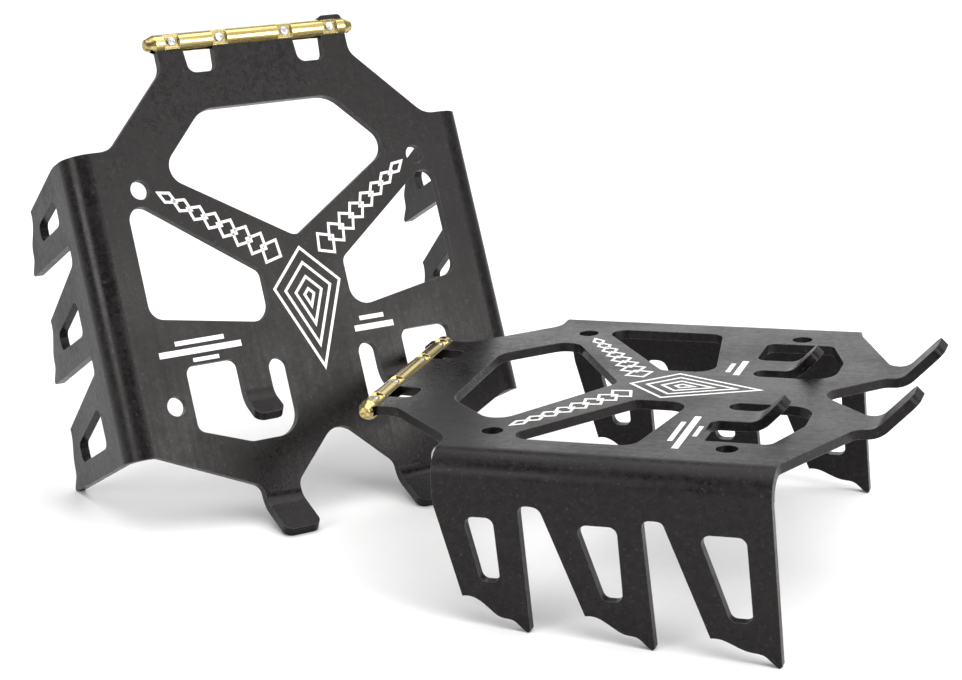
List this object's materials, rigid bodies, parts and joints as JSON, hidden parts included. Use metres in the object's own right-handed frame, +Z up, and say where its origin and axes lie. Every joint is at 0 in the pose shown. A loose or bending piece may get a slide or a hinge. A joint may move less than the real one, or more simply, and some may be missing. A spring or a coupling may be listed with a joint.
{
  "type": "splitboard crampons",
  "caption": "Pair of toothed ski or splitboard crampons, each a bent aluminium plate with windows in its teeth and a riveted brass hinge rod, one standing and one leaning.",
  "frame": {"origin": "middle of the pair's footprint, on the floor", "axes": "+Z up; +X from the standing crampon's hinge rod towards its tail; +Y across the standing crampon's width"},
  "size_m": [0.2992, 0.187, 0.1489],
  "materials": {
    "plate": "dark grey anodised, satin, a little mottled",
    "hinge_rod": "turned, bright",
    "rivets": "pressed, bright"
  },
  "bodies": {
    "standing_crampon": {"standing_plate": "plate", "standing_hinge_rod": "hinge_rod", "standing_rivet_1": "rivets", "standing_rivet_2": "rivets", "standing_rivet_3": "rivets", "standing_rivet_4": "rivets"},
    "leaning_crampon": {"leaning_plate": "plate", "leaning_hinge_rod": "hinge_rod", "leaning_rivet_1": "rivets", "leaning_rivet_2": "rivets", "leaning_rivet_3": "rivets", "leaning_rivet_4": "rivets"}
  },
  "joints": [
    {"name": "leaning_crampon_away", "type": "slide", "parent": "standing_crampon", "child": "leaning_crampon", "axis": [-1, 0, 0], "range_m": [0, 0.2]}
  ]
}
